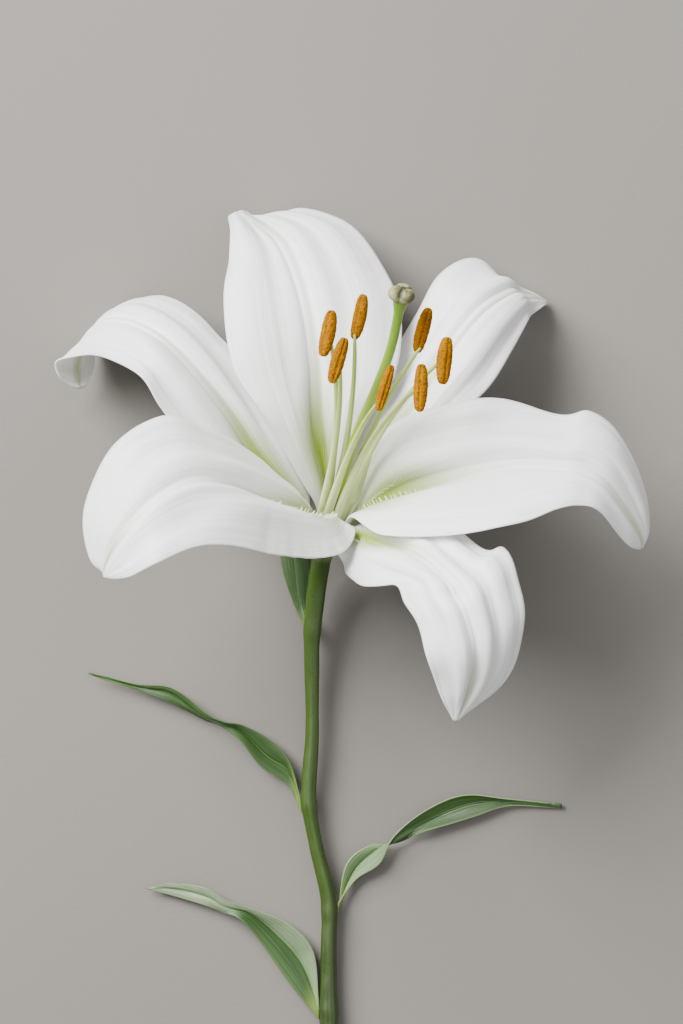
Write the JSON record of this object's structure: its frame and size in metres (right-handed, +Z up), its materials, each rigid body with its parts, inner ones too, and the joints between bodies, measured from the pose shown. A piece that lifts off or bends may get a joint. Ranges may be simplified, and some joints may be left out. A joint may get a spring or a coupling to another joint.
{
  "type": "cut lily",
  "caption": "Open trumpet-shaped lily flower with recurving tepals, stamens and a pistil, on a leafy cut stem, lying on its back.",
  "frame": {"origin": "on the surface the flower lies on, under the middle of its bounding box", "axes": "+Z up from the surface; +Y along the stem from its cut end to the flower; +X to the right of the flower as seen from above with the flower at the top"},
  "size_m": [0.1744, 0.325, 0.0919],
  "materials": {
    "tepal": "soft satin white petal, thin enough to let light through, yellow-green at the throat",
    "pistil": "smooth waxy green, cream stigma",
    "filament": "smooth pale green-white stalk",
    "anther": "grainy orange pollen",
    "stem": "smooth waxy green stalk",
    "leaf": "satin mid green leaf, paler underneath"
  },
  "bodies": {
    "root": {"stem": "stem", "tepal_inner_top": "tepal", "tepal_outer_right": "tepal", "tepal_inner_right": "tepal", "tepal_inner_left": "tepal", "tepal_outer_front": "tepal", "tepal_outer_left": "tepal", "pistil": "pistil", "filament_1": "filament", "filament_2": "filament", "filament_3": "filament", "filament_4": "filament", "filament_5": "filament", "filament_6": "filament", "filament_7": "filament", "anther_1": "anther", "anther_2": "anther", "anther_3": "anther", "anther_4": "anther", "anther_5": "anther", "anther_6": "anther", "anther_7": "anther", "leaf_upper": "leaf", "leaf_left": "leaf", "leaf_right": "leaf", "leaf_lower": "leaf"}
  },
  "joints": []
}
